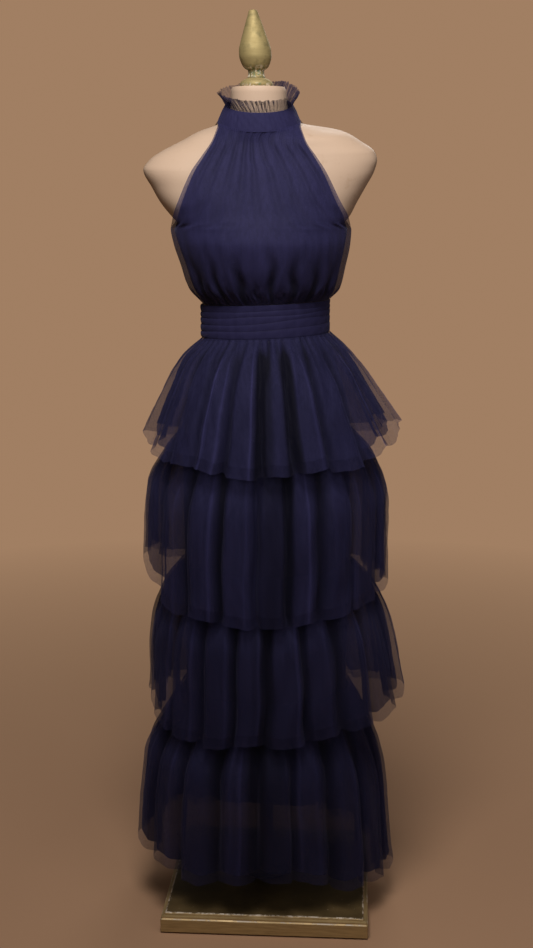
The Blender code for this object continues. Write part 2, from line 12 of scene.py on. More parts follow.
import bpy
import numpy as np
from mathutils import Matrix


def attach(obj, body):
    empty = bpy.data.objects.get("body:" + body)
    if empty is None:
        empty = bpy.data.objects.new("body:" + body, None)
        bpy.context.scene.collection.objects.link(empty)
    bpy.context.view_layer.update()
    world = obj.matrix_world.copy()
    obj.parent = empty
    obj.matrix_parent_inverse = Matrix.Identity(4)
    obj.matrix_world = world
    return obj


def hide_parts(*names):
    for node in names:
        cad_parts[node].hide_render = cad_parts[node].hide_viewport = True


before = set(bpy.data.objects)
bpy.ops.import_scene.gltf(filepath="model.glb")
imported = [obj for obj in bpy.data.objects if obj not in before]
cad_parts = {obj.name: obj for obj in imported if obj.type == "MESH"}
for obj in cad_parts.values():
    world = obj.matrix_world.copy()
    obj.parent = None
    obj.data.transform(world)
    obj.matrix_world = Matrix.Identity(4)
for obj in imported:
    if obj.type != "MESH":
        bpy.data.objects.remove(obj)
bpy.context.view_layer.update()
SCENE = bpy.context.scene


def metres(*rows):
    """A table written in millimetres, and in thousandths where a column is a share."""
    return tuple(tuple(value / 1000.0 for value in row) for row in rows)


# ---- sizes shared with the construction ----
SEAM_GAP = 0.0003
BASE_SIDE = 0.368  # the photograph's: 8 mm more than the solid's
BASE_TOP = 0.037
BASE_SHIFT_X = 0.007  # the photograph's: 2 mm more
BASE_TURN = math.radians(-3.8)  # the photograph's: 1.2 degrees further
BASE_CORNER = 0.0022
POLE_RADIUS = 0.0125
POLE_FLANGE_RADIUS = 0.042
POLE_FLANGE_HEIGHT = 0.006
FORM_FOOT = 0.77
NECK_TOP = 1.467

BAND_CENTRE_X = -0.0125
BAND_LOW = {"z": 1.4135, "half": 0.0705, "front": 0.062, "back": 0.058}
BAND_TOP = {"z": 1.4385, "half": 0.0575, "front": 0.054, "back": 0.052}
BAND_TILT = 0.3
BAND_WALL = 0.002
BAND_SIDE_ANGLE = 14.0

WAIST_TOP = 1.1065
WAIST_BOTTOM = 1.05
WAIST_TILT = 0.04
WAIST_HALF = 0.1115
WAIST_FRONT = 0.0945
WAIST_BACK = 0.0925

# The dress form. z, reach to -X, reach to +X, depth to the front, depth to the back
FORM_SECTIONS = metres(
    (770, 124, 124, 92, 100), (790, 130, 130, 97, 105), (880, 134, 134, 101, 109),
    (960, 122, 121, 91, 96), (1040, 102, 100, 77, 78), (1085, 101, 98, 77, 76),
    (1130, 109, 102, 87, 80), (1170, 122, 111, 104, 86), (1205, 135, 119, 113, 90),
    (1230, 146, 127, 109, 91), (1242, 154, 134.5, 105, 91), (1253, 164, 143.5, 100, 91),
    (1275, 181.7, 155, 92, 90), (1300, 196, 169, 82, 83), (1331, 211.1, 185.5, 70, 76),
    (1347, 200.7, 189.2, 63, 70), (1361, 180.4, 185, 58, 65), (1378, 145.5, 161, 53, 60),
    (1392, 118, 134, 50, 55), (1401, 91, 77, 45, 47), (1411, 65, 40, 45, 46), (1430, 61.5, 36, 46, 46),
    (1464, 60, 33, 45, 45), (1467, 58, 31, 43, 43),
)
FORM_SQUARENESS = 2.2
# z at the side, drop for each metre to the front
FORM_TILT = ((1.275, 0.0), (1.331, 0.06), (1.361, 0.14), (1.392, 0.26), (1.43, 0.3), (1.467, 0.0))

# Outer bodice. z at the sides, side edges to -X and +X (0 where the panel reaches the side seam),
# how far it stands off the form at the side and front
BODICE_ROWS = metres(
    (1392, 93, 68, 17, 15), (1361, 109.5, 84, 14, 14), (1331, 126.5, 100, 13, 14),
    (1275, 150, 126, 13, 14), (1253, 158, 138.5, 13, 15), (1242, 161, 142, 14, 16),
    (1230, 0, 0, 17, 17), (1205, 0, 0, 23, 20), (1170, 0, 0, 24, 24), (1130, 0, 0, 23.5, 25),
)
LINING_EDGE_INSET = 0.008
LINING_SHARE = (0.72, 0.5)  # how far out the lining lies: the photograph's at the sides, at the front
LINING_TUCK = 0.0029
ARMHOLE_FOOT = 1.242
BODICE_PUFF = 0.003  # the photograph's: how much fuller at the sides the net is than its solid

# Skirt lining. z, half width, half depth
LINING_ROWS = metres(
    (228, 152, 138), (415, 150, 134), (645, 150, 133), (885, 148, 128), (1048, 107.5, 88),
)
LINING_HEM = 0.228

# Outer reach of each tier. share of the way from seam to hem, reach to -X, +X, front and back, and how
# deep the folds cut in. The photograph's: in their upper half, tiers 2 and 3 reach up to 10 mm further
TIER_REACH = {
    1: metres((200, 153, 148, 125, 124, 6), (580, 189, 194, 166, 164, 13), (1000, 224, 242, 198, 198, 18)),
    2: metres((180, 187, 197, 166, 165, 8), (450, 218, 222, 194, 190, 16), (1000, 227, 224, 205, 200, 20)),
    3: metres((180, 191, 200, 167, 166, 8), (450, 214, 229, 196, 192, 16), (1000, 224, 259, 208, 204, 20)),
    4: metres((160, 186, 188, 168, 167, 8), (420, 227, 219, 202, 198, 18), (1000, 244, 240, 218, 214, 24)),
}
TIER_SEAM = {1: WAIST_BOTTOM, 2: 0.885, 3: 0.645, 4: 0.415}
# Hem heights at every 45 degrees, the photograph's: up to 26 mm above those of the solids
TIER_HEM = {
    1: (0.892, 0.858, 0.842, 0.85, 0.878, 0.842, 0.827, 0.842),
    2: (0.61, 0.6, 0.6, 0.616, 0.66, 0.582, 0.57, 0.588),
    3: (0.404, 0.374, 0.358, 0.368, 0.402, 0.352, 0.364, 0.38),
    4: (0.056, 0.078, 0.084, 0.1, 0.13, 0.108, 0.112, 0.082),
}
# Ridges of the folds at the front, in degrees from straight ahead
FRONT_RIDGES = {
    1: (-78, -61, -45, -29, -12, 5, 21, 38, 57, 76),
    2: (-74, -52, -32, -13, 3, 18, 35, 54, 76),
    3: (-78, -60, -43, -24, -8, 9, 25, 42, 60, 79),
    4: (-76, -54, -34, -14, 4, 22, 42, 62, 80),
}
RIDGE_HEIGHTS = (1.0, 0.72, 0.92, 0.6, 1.0, 0.8)
BACK_RIDGES = {1: 8, 2: 7, 3: 8, 4: 7}
BACK_RIDGE_DRIFT = 0.16
UNDERLAYER_INSET = 0.006
UNDERLAYER_SHORTER = 0.018

# Turned pieces. radius, height above their own foot. The finial's rows are the photograph's
CAP_PROFILE = metres((27.5, 0), (28.5, 4), (26, 9), (20, 13), (15.5, 15))
FINIAL_PROFILE = metres(
    (15, 0), (15.2, 2), (13.8, 4), (13.6, 9.5), (14.2, 12.8), (16.8, 14.2), (20.5, 17.2), (24.7, 25),
    (27.4, 36), (27.2, 45), (24, 58), (18.8, 74), (13.6, 90), (9.4, 102), (7, 108.8), (5.2, 110.4),
    (0, 111),
)
FINIAL_X = -0.017
FINIAL_LEAN = 0.052
# The base, with the photograph's rim. inset from its side, height
BASE_PROFILE = (
    (0.014, 0.0), (0.014, 0.003), (0.0, 0.0035), (0.0, 0.0265), (0.002, 0.0285),
    (0.0022, 0.031), (0.0065, 0.0325), (0.0068, 0.0355), (0.009, BASE_TOP), (0.02, BASE_TOP),
)

# ---- fineness of the meshes here ----
TIER_COLUMNS = 540
TIER_ROWS = 52
BODICE_COLUMNS = 220
BODICE_LEVELS = 96
BASE_DIVISIONS = 60
RIPPLE_PARTS = 6

# ---- colours and wear ----
BACKDROP = (0.355, 0.212, 0.124)
ROOM_LIGHT = (0.8, 0.72, 0.64)
FLOOR_FADE = (0.5, 2.8)  # how far from the dress the floor starts and ends to fade

# In the base's own frame: where its paint is worn through, and its two edges that are chipped
CHIP_PATCH = (0.152, -0.008, BASE_TOP)
TOP_RIM = BASE_SIDE / 2.0 - 0.009
STEP_RIM = BASE_SIDE / 2.0 - 0.001
# The nets: their deep and pale colour, how much their gaps and their threads hide
NETS = {
    "skirt": ((0.015, 0.0145, 0.056), (0.031, 0.0295, 0.1), 0.5, 0.78),
    "under": ((0.012, 0.0115, 0.045), (0.023, 0.022, 0.075), 0.74, 0.94),
    "bodice": ((0.02, 0.0185, 0.072), (0.034, 0.0315, 0.113), 0.62, 0.86),
    # The lowest tier's underlayer hides more than the others, so that less lit floor shows through it: the
    # extra density stands in for the shade under the skirt
    "hem_under": ((0.012, 0.0115, 0.045), (0.023, 0.022, 0.075), 0.85, 0.97),
    "bands": ((0.018, 0.0165, 0.064), (0.026, 0.024, 0.086), 0.95, 1.0),
    "frill": ((0.016, 0.014, 0.052), (0.028, 0.025, 0.084), 0.44, 0.8),
}

# ---- camera, as the photograph was taken ----
CAMERA_PLACE = (0.0, -2.4561, 1.2846)
CAMERA_DOWN = math.radians(11.184)
SENSOR = 36.0
PHOTO_HEIGHT = 948
FOCAL_PIXELS = 1400


# ---- small helpers ----
def mix(a, b, share):
    return a + (b - a) * share


def smooth(share):
    share = np.clip(share, 0.0, 1.0)
    return share * share * (3.0 - 2.0 * share)


def eased(places, values, where):
    """A curve through rows of values that never overshoots them; `where` may have any shape."""
    places = np.asarray(places, float)
    values = np.asarray(values, float)
    where = np.clip(np.asarray(where, float), places[0], places[-1])
    span = np.diff(places)
    step = np.diff(values, axis=0) / span.reshape((-1,) + (1,) * (values.ndim - 1))
    both = step[:-1] * step[1:]
    total = step[:-1] + step[1:]
    inner = np.where(both > 0.0, 2.0 * both / np.where(total == 0.0, 1.0, total), 0.0)
    slope = np.concatenate([step[:1], inner, step[-1:]])
    index = np.clip(np.searchsorted(places, where, side="right") - 1, 0, len(places) - 2)
    share = (where - places[index]) / span[index]
    extra = (1,) * (values.ndim - 1)
    share = share.reshape(share.shape + extra)
    width = span[index].reshape(index.shape + extra)
    s2, s3 = share ** 2, share ** 3
    return (
        (2 * s3 - 3 * s2 + 1) * values[index]
        + (s3 - 2 * s2 + share) * width * slope[index]
        + (3 * s2 - 2 * s3) * values[index + 1]
        + (s3 - s2) * width * slope[index + 1]
    )


def table_at(table, key):
    """Each column of a table at the keys, as separate arrays."""
    rows = np.array(sorted(table), float)
    found = eased(rows[:, 0], rows[:, 1:], key)
    return [found[..., column] for column in range(rows.shape[1] - 1)]


def sines(degrees):
    radians = np.radians(degrees)
    return np.cos(radians), np.sin(radians)


def points_at(x, y, z):
    """Points whose coordinates have shapes that fit together."""
    return np.stack(np.broadcast_arrays(x, y, z), axis=-1)


def ripple(around, along, lowest, highest, seed):
    """Smooth uneven waves from -1 to 1. `around` is in degrees and closes on itself."""
    chance = np.random.default_rng(seed)
    total = 0.0
    for _ in range(RIPPLE_PARTS):
        turns = chance.integers(lowest, highest + 1)
        climb = chance.uniform(-7.0, 7.0)
        phase = chance.uniform(0.0, 2.0 * math.pi)
        total = total + np.sin(np.radians(around) * turns + climb * along + phase)
    return total / RIPPLE_PARTS * 1.6


def add_mesh(name, points, faces, material):
    mesh = bpy.data.meshes.new(name)
    mesh.from_pydata([tuple(point) for point in points], [], faces)
    mesh.materials.append(material)
    mesh.update()
    for polygon in mesh.polygons:
        polygon.use_smooth = True
    made = bpy.data.objects.new(name, mesh)
    SCENE.collection.objects.link(made)
    return made


def grid_faces(rows, columns, closed):
    faces = []
    for i in range(rows - 1):
        for j in range(columns if closed else columns - 1):
            k = (j + 1) % columns
            faces.append((i * columns + j, (i + 1) * columns + j, (i + 1) * columns + k, i * columns + k))
    return faces


def dress_piece(made, node):
    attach(made, "root")
    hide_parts(node)


def cloth(name, node, grid, closed, material, slot="navy_tulle", **marks):
    """A thin sheet. Rows run from the top down, columns in the direction of rising angle.

    Each mark is a value from 0 to 1 at every point, kept on the mesh for its material to read.
    """
    rows, columns = grid.shape[:2]
    made = add_mesh(name, grid.reshape(-1, 3), grid_faces(rows, columns, closed), material)
    for mark, values in marks.items():
        layer = made.data.attributes.new(mark, "FLOAT", "POINT")
        full = np.broadcast_to(np.clip(values, 0.0, 1.0), (rows, columns))
        layer.data.foreach_set("value", full.ravel().astype(np.float32))
    dress_piece(made, node)
    return made


def capped(name, grid, material):
    """A closed body from rings that run from the top down, each end closed by a fan."""
    rows, columns = grid.shape[:2]
    points = np.vstack([grid.reshape(-1, 3), grid[0].mean(0)[None], grid[-1].mean(0)[None]])
    faces = grid_faces(rows, columns, True)
    top, bottom = rows * columns, rows * columns + 1
    last = (rows - 1) * columns
    for j in range(columns):
        k = (j + 1) % columns
        faces.append((top, j, k))
        faces.append((bottom, last + k, last + j))
    return add_mesh(name, points, faces, material)


def keep_edges(made, degrees):
    made.data.set_sharp_from_angle(angle=math.radians(degrees))


def normals_of(grid):
    """Outward unit normals of an open grid whose columns run in the direction of rising angle."""
    normal = np.cross(np.gradient(grid, axis=0), np.gradient(grid, axis=1))
    return normal / np.maximum(np.linalg.norm(normal, axis=2, keepdims=True), 1e-12)


# ---- materials ----
class Recipe:
    """A material's nodes, added one at a time."""

    def __init__(self, name):
        self.material = bpy.data.materials.new(name)
        self.material.use_nodes = True
        self.tree = self.material.node_tree
        self.shader = self.tree.nodes["Principled BSDF"]
        self.place = self.node("ShaderNodeTexCoord").outputs["Object"]

    def node(self, kind, settings=None, **sockets):
        made = self.tree.nodes.new(kind)
        for key, value in (settings or {}).items():
            setattr(made, key, value)
        for key, value in sockets.items():
            self.put(made.inputs[key.replace("_", " ")], value)
        return made

    def put(self, socket, value):
        if isinstance(value, bpy.types.NodeSocket):
            self.tree.links.new(value, socket)
        else:
            socket.default_value = value

    def set(self, **values):
        for key, value in values.items():
            self.put(self.shader.inputs[key.replace("_", " ")], value)

    def scaled(self, scale):
        made = self.node("ShaderNodeMapping", Vector=self.place)
        made.inputs["Scale"].default_value = scale
        return made.outputs[0]

    def noise(self, scale, detail=2.0, roughness=0.5, where=None):
        where = self.place if where is None else where
        made = self.node("ShaderNodeTexNoise", Vector=where, Scale=scale, Detail=detail, Roughness=roughness)
        return made.outputs[0]

    def cells(self, scale):
        """Distance from the walls between irregular cells."""
        edges = {"feature": "DISTANCE_TO_EDGE"}
        return self.node("ShaderNodeTexVoronoi", edges, Vector=self.place, Scale=scale).outputs[0]

    def fit(self, value, low, high, new_low=0.0, new_high=1.0):
        made = self.node("ShaderNodeMapRange", {"clamp": True}, Value=value)
        for socket, number in zip(list(made.inputs)[1:5], (low, high, new_low, new_high)):
            self.put(socket, number)
        return made.outputs[0]

    def math(self, operation, *values):
        made = self.node("ShaderNodeMath", {"operation": operation})
        for socket, value in zip(made.inputs, values):
            self.put(socket, value)
        return made.outputs[0]

    def times(self, first, second):
        return self.math("MULTIPLY", first, second)

    def blend(self, share, first, second):
        made = self.node("ShaderNodeMix", {"data_type": "RGBA"})
        self.put(made.inputs[0], share)
        self.put(made.inputs[6], first if isinstance(first, bpy.types.NodeSocket) else (*first, 1.0))
        self.put(made.inputs[7], second if isinstance(second, bpy.types.NodeSocket) else (*second, 1.0))
        return made.outputs[2]

    def mark(self, name):
        return self.node("ShaderNodeAttribute", {"attribute_name": name}).outputs["Fac"]

    def axis(self, name):
        return self.node("ShaderNodeSeparateXYZ", Vector=self.place).outputs[name]

    def edge_band(self, value, middle, width):
        """1 within a width of a place, 0 outside it."""
        off = self.math("ABSOLUTE", self.math("SUBTRACT", value, middle))
        return self.fit(off, width * 0.7, width, 1.0, 0.0)

    def bump(self, height, strength, distance):
        made = self.node("ShaderNodeBump", Height=height, Strength=strength, Distance=distance)
        self.put(self.shader.inputs["Normal"], made.outputs[0])


def tulle(name, deep, pale, hole, thread):
    """Fine net. `hole` and `thread` are how much the gaps and the threads of the net hide.

    Cloth marked shade gets painted shade where it lies deep in a fold, cloth marked edge gets a painted
    highlight along a fold's lit edge, and cloth marked sheer is a single ungathered layer.
    """
    paint = Recipe(name)
    net = paint.fit(paint.cells(560.0), 0.02, 0.16, 1.0, 0.0)
    streaks = paint.noise(1.0, 3.0, 0.6, paint.scaled((150.0, 150.0, 5.0)))
    cloudy = paint.noise(9.0, 2.0)
    tone = paint.math("ADD", paint.times(streaks, 0.55), paint.times(cloudy, 0.45))
    lit = paint.blend(paint.fit(tone, 0.32, 0.68), deep, pale)
    # The painted shade colour: a near black navy for cloth marked shade
    sunk = tuple(0.2 * part for part in deep)
    # The painted highlight colour: a pale navy for a fold's lit edge, the cloth marked edge
    painted_highlight = tuple(min(1.0, 2.1 * part) for part in pale)
    colour = paint.blend(paint.times(paint.mark("edge"), 0.85), lit, painted_highlight)
    colour = paint.blend(paint.fit(paint.mark("shade"), 0.0, 1.0, 0.0, 0.94), colour, sunk)
    sheer = paint.mark("sheer")
    low = paint.fit(sheer, 0.0, 1.0, hole, hole * 0.42)
    high = paint.fit(sheer, 0.0, 1.0, thread, thread * 0.66)
    cover = paint.math("MULTIPLY_ADD", net, paint.math("SUBTRACT", high, low), low)
    cover = paint.math("MAXIMUM", cover, paint.times(paint.mark("rim"), 0.85))
    paint.set(Base_Color=colour, Roughness=0.8, Alpha=cover)
    paint.set(Sheen_Weight=0.1, Sheen_Roughness=0.45, Sheen_Tint=(0.4, 0.4, 0.85, 1.0))
    paint.set(Specular_IOR_Level=0.18)
    paint.bump(net, 0.25, 0.0003)
    return paint.material


def lining_cloth():
    paint = Recipe("navy_lining")
    weave = paint.times(
        paint.node("ShaderNodeTexWave", Vector=paint.place, Scale=420.0, Distortion=0.4).outputs[1],
        paint.node(
            "ShaderNodeTexWave", {"bands_direction": "Z"}, Vector=paint.place, Scale=420.0, Distortion=0.4
        ).outputs[1],
    )
    colour = paint.blend(paint.noise(14.0, 3.0), (0.0055, 0.0055, 0.021), (0.011, 0.0105, 0.038))
    paint.set(Base_Color=colour, Roughness=0.62, Sheen_Weight=0.15, Sheen_Roughness=0.5)
    paint.bump(weave, 0.2, 0.0002)
    return paint.material


def form_paint():
    paint = Recipe("form_skin")
    mottled = paint.blend(paint.noise(6.0, 4.0), (0.55, 0.395, 0.295), (0.64, 0.475, 0.36))
    rubbed = paint.fit(paint.noise(46.0, 5.0, 0.65), 0.6, 0.78)
    colour = paint.blend(rubbed, mottled, (0.5, 0.345, 0.24))
    paint.set(Base_Color=colour, Roughness=paint.fit(paint.noise(30.0, 3.0), 0.3, 0.7, 0.46, 0.62))
    paint.set(Specular_IOR_Level=0.35)
    paint.bump(paint.noise(240.0, 3.0), 0.12, 0.0006)
    return paint.material


def gilt(name, green_from, green_to):
    """Aged gilt; between two heights it is worn to the plaster and stained green."""
    paint = Recipe(name)
    height = paint.axis("Z")
    turning = paint.noise(1.0, 3.0, 0.6, paint.scaled((40.0, 40.0, 900.0)))
    gold = paint.blend(turning, (0.34, 0.265, 0.115), (0.46, 0.37, 0.175))
    dull = paint.blend(paint.fit(paint.noise(70.0, 4.0), 0.5, 0.72), gold, (0.22, 0.185, 0.085))
    low = paint.fit(height, green_to, green_to + 0.006, 1.0, 0.0)
    patchy = paint.noise(210.0, 4.0, 0.7)
    green = paint.times(low, paint.fit(patchy, 0.5, 0.58))
    stained = paint.blend(green, dull, (0.07, 0.15, 0.08))
    bare = paint.times(low, paint.fit(paint.noise(150.0, 5.0, 0.7), 0.52, 0.56))
    above_foot = paint.fit(height, green_from, green_from + 0.002)
    bare = paint.times(bare, above_foot)
    paint.set(Base_Color=paint.blend(bare, stained, (0.7, 0.62, 0.5)))
    paint.set(Metallic=paint.fit(paint.math("ADD", bare, green), 0.2, 0.9, 0.45, 0.0))
    paint.set(Roughness=paint.fit(paint.noise(90.0, 3.0), 0.3, 0.7, 0.6, 0.74))
    paint.bump(paint.math("ADD", turning, paint.times(patchy, 0.6)), 0.18, 0.0006)
    return paint.material


def base_paint():
    """Dark bronze on top, gold on the sides, pale chips along the edges of the step."""
    paint = Recipe("stand_bronze")
    x, y, z = paint.axis("X"), paint.axis("Y"), paint.axis("Z")
    reach = paint.math("MAXIMUM", paint.math("ABSOLUTE", x), paint.math("ABSOLUTE", y))
    blotch = paint.noise(11.0, 5.0, 0.6)
    top = paint.blend(paint.fit(blotch, 0.35, 0.66), (0.085, 0.056, 0.024), (0.175, 0.116, 0.048))
    specks = paint.fit(paint.noise(260.0, 2.0), 0.735, 0.755)
    top = paint.blend(specks, top, (0.5, 0.4, 0.26))
    streak = paint.noise(1.0, 4.0, 0.6, paint.scaled((22.0, 22.0, 260.0)))
    side = paint.blend(paint.fit(streak, 0.3, 0.7), (0.29, 0.195, 0.085), (0.44, 0.31, 0.145))
    on_top = paint.fit(z, BASE_TOP - 0.0016, BASE_TOP - 0.0006)
    colour = paint.blend(on_top, side, top)
    ragged = paint.fit(paint.noise(90.0, 6.0, 0.75), 0.47, 0.53)
    chip = paint.times(paint.edge_band(reach, TOP_RIM, 0.0016), ragged)
    lower = paint.times(paint.edge_band(reach, STEP_RIM, 0.0011), paint.fit(z, 0.026, 0.0275))
    lower = paint.times(lower, paint.fit(paint.noise(45.0, 5.0, 0.72), 0.5, 0.56))
    chip = paint.math("MAXIMUM", chip, lower)
    corner = paint.node("ShaderNodeVectorMath", {"operation": "DISTANCE"}, Vector=paint.place)
    corner.inputs[1].default_value = CHIP_PATCH
    near = paint.fit(corner.outputs["Value"], 0.006, 0.022, 0.3, 0.0)
    patch = paint.fit(paint.math("ADD", paint.noise(75.0, 5.0, 0.7), near), 0.68, 0.72)
    chip = paint.math("MAXIMUM", chip, paint.times(patch, paint.fit(near, 0.0, 0.05)))
    paint.set(Base_Color=paint.blend(chip, colour, (0.52, 0.43, 0.34)))
    paint.set(Metallic=paint.fit(chip, 0.0, 1.0, 0.3, 0.0))
    paint.set(Roughness=paint.fit(blotch, 0.3, 0.7, 0.34, 0.55))
    paint.bump(paint.math("SUBTRACT", paint.noise(60.0, 5.0), chip), 0.25, 0.0008)
    return paint.material


def pole_paint():
    paint = Recipe("pole_metal")
    brushed = paint.noise(1.0, 3.0, 0.6, paint.scaled((60.0, 60.0, 700.0)))
    paint.set(Base_Color=paint.blend(brushed, (0.055, 0.048, 0.042), (0.11, 0.1, 0.09)))
    paint.set(Metallic=0.85, Roughness=paint.fit(paint.noise(35.0, 4.0), 0.3, 0.7, 0.32, 0.5))
    paint.bump(brushed, 0.08, 0.0003)
    return paint.material


def floor_paint():
    """A pale warm floor that runs out into the colour of the backdrop, with no edge in sight."""
    paint = Recipe("pale_floor")
    paint.set(Base_Color=paint.blend(paint.noise(1.4, 3.0), (0.42, 0.25, 0.155), (0.45, 0.27, 0.17)))
    paint.set(Roughness=0.9, Specular_IOR_Level=0.1)
    away = paint.node("ShaderNodeVectorMath", {"operation": "LENGTH"}, Vector=paint.place)
    share = paint.fit(away.outputs["Value"], FLOOR_FADE[0], FLOOR_FADE[1])
    seen = paint.node("ShaderNodeLightPath").outputs["Is Camera Ray"]
    strength = paint.fit(seen, 0.0, 1.0, 0.2, 1.0)
    glow = paint.node("ShaderNodeEmission", Color=(*BACKDROP, 1.0), Strength=strength)
    joined = paint.node("ShaderNodeMixShader")
    paint.put(joined.inputs[0], share)
    paint.put(joined.inputs[1], paint.shader.outputs[0])
    paint.put(joined.inputs[2], glow.outputs[0])
    paint.put(paint.tree.nodes["Material Output"].inputs["Surface"], joined.outputs[0])
    return paint.material


# ---- dress form and stand ----
def form_points(z, angle, out=0.0):
    """Points of the form's skin, moved out, on the sections that have these heights at the sides."""
    left, right, front, back = table_at(FORM_SECTIONS, z)
    cosine, sine = sines(angle)
    middle, half = (right - left) / 2.0, (right + left) / 2.0 + out
    depth = np.where(sine < 0.0, front, back) + out
    power = 2.0 / FORM_SQUARENESS
    x = middle + half * np.sign(cosine) * np.abs(cosine) ** power
    y = depth * np.sign(sine) * np.abs(sine) ** power
    lean = table_at(FORM_TILT, z)[0]
    return points_at(x, y, z + y * lean)


def make_form(material):
    """The torso, which narrows a little at its lower edge and at the top of its neck."""
    heights = np.concatenate([
        np.linspace(NECK_TOP, 1.42, 14)[:-1],
        np.linspace(1.42, 1.33, 60)[:-1],
        np.linspace(1.33, 1.0, 90)[:-1],
        np.linspace(1.0, FORM_FOOT, 30),
    ])
    angles = np.linspace(0.0, 360.0, 160, endpoint=False)
    grid = form_points(heights[:, None], angles[None, :])
    made = capped("dress_form_torso", grid, material)
    keep_edges(made, 50)
    dress_piece(made, "form_torso")


def turned(name, profile, foot, lean, material, steps=96, levels=8):
    """A turned body whose profile is eased between its rows."""
    rows = np.array(profile, float)
    place = np.concatenate([[0.0], np.cumsum(np.hypot(*np.diff(rows, axis=0).T))])
    fine = np.concatenate([
        np.linspace(a, b, levels, endpoint=False) for a, b in zip(place[:-1], place[1:])
    ] + [place[-1:]])
    curve = eased(place, rows, fine)[::-1]
    angles = np.linspace(0.0, 2.0 * math.pi, steps, endpoint=False)
    radius, height = curve[:, :1], curve[:, 1:]
    x = foot[0] - lean * height + radius * np.cos(angles)
    y = foot[1] + radius * np.sin(angles)
    grid = points_at(x, y, foot[2] + height)
    made = capped(name, grid, material)
    keep_edges(made, 40)
    return made


def rounded_square(half, radius, divisions):
    """Points round a square with rounded corners, its straight sides divided."""
    corners = []
    for quarter, signs in enumerate(((1, 1), (-1, 1), (-1, -1), (1, -1))):
        turns = sines(90.0 * quarter + np.linspace(0.0, 90.0, 6))
        corners.extend((half - radius) * np.array(signs) + radius * np.column_stack(turns))
    points = []
    for a, b in zip(corners, corners[1:] + corners[:1]):
        parts = divisions if np.hypot(*(b - a)) > half else 1
        points.extend(mix(a, b, i / parts) for i in range(parts))
    return np.array(points)


def make_base(material):
    """Built about its own middle, then placed, so that its paint follows its sides."""
    rows = []
    for inset, height in BASE_PROFILE[::-1]:
        outline = rounded_square(BASE_SIDE / 2.0 - inset, BASE_CORNER, BASE_DIVISIONS)
        rows.append(np.column_stack([outline, np.full(len(outline), height)]))
    grid = np.array(rows)
    # The two rows of the upper rim are worn unevenly
    rim = grid[1:3]
    wear = np.random.default_rng(5).uniform(0.0, 0.0009, rim.shape[:2])
    rim[..., :2] -= rim[..., :2] / np.linalg.norm(rim[..., :2], axis=2, keepdims=True) * wear[..., None]
    rim[1, :, 2] -= wear[0] * 0.5
    made = capped("display_stand_base", grid, material)
    keep_edges(made, 35)
    made.location.x = BASE_SHIFT_X
    made.rotation_euler.z = BASE_TURN
    dress_piece(made, "stand_base")


def make_stand(materials):
    foot = BASE_TOP + SEAM_GAP
    profile = (
        (POLE_FLANGE_RADIUS - 0.001, 0.0),
        (POLE_FLANGE_RADIUS, 0.001),
        (POLE_FLANGE_RADIUS, POLE_FLANGE_HEIGHT - 0.001),
        (POLE_FLANGE_RADIUS - 0.002, POLE_FLANGE_HEIGHT),
        (POLE_RADIUS + 0.001, POLE_FLANGE_HEIGHT + 0.001),
        (POLE_RADIUS, POLE_FLANGE_HEIGHT + 0.003),
        (POLE_RADIUS, FORM_FOOT - SEAM_GAP - foot),
    )
    pole = turned("display_stand_pole", profile, (0.0, 0.0, foot), 0.0, materials["pole"], 64, 4)
    dress_piece(pole, "stand_pole")
    cap_foot = (FINIAL_X, 0.0, NECK_TOP + SEAM_GAP)
    cap = turned("gilt_neck_cap", CAP_PROFILE, cap_foot, 0.0, materials["cap"])
    dress_piece(cap, "neck_cap")
    finial_foot = (FINIAL_X, 0.0, cap_foot[2] + CAP_PROFILE[-1][1] + SEAM_GAP)
    finial = turned("gilt_finial", FINIAL_PROFILE, finial_foot, FINIAL_LEAN, materials["finial"], 96, 6)
    dress_piece(finial, "finial")


# ---- neck ----
BAND_OVERLAP = 0.0045  # how far the band's lower edge comes down over the bodice
RUFFLE_PLEATS = 54
RUFFLE_SLANT = 7.0  # degrees that the pleats lean to the wearer's right by their tips
RUFFLE_TALL_AT = 52.0  # where the frill stands tallest and straightest, behind the left shoulder


def band_points(row, angle, out=0.0, lift=0.0):
    cosine, sine = sines(angle)
    depth = np.where(sine < 0.0, row["front"], row["back"]) + out
    x = BAND_CENTRE_X + (row["half"] + out) * cosine
    y = depth * sine
    return points_at(x, y, row["z"] + BAND_TILT * y + lift)


def make_neck_band(material):
    """A strip folded over at its top edge, open at the centre back, a little rounded across."""
    slit = math.degrees(SEAM_GAP / BAND_TOP["back"])
    angles = np.linspace(90.0 + slit, 450.0 - slit, 300)[None, :]
    low, top = band_points(BAND_LOW, angles, 0.0006, -BAND_OVERLAP), band_points(BAND_TOP, angles)
    crease = 0.0004 * ripple(angles, 0.0, 5, 24, 31)
    outside, inside = [], []
    for share in np.linspace(0.0, 1.0, 22):
        row = mix(low, top, share) + np.array([0.0, 0.0, SEAM_GAP])
        flat = (row - np.array([BAND_CENTRE_X, 0.0, 0.0])) * np.array([1.0, 1.0, 0.0])
        unit = flat / np.linalg.norm(flat, axis=2, keepdims=True)
        swell = 0.0009 * math.sin(math.pi * share) ** 0.6
        uneven = crease + 0.0005 * ripple(angles, 2.2 * share, 9, 60, 32)
        swell = swell + uneven * (4.0 * share * (1.0 - share)) ** 0.5
        outside.append(row + unit * swell[..., None])
        inside.append(row - unit * (BAND_WALL - 0.0004))
    grid = np.concatenate([np.vstack(inside), np.vstack(outside[::-1])])[::-1]
    made = cloth("tulle_neck_band", "neck_band", grid, False, material)


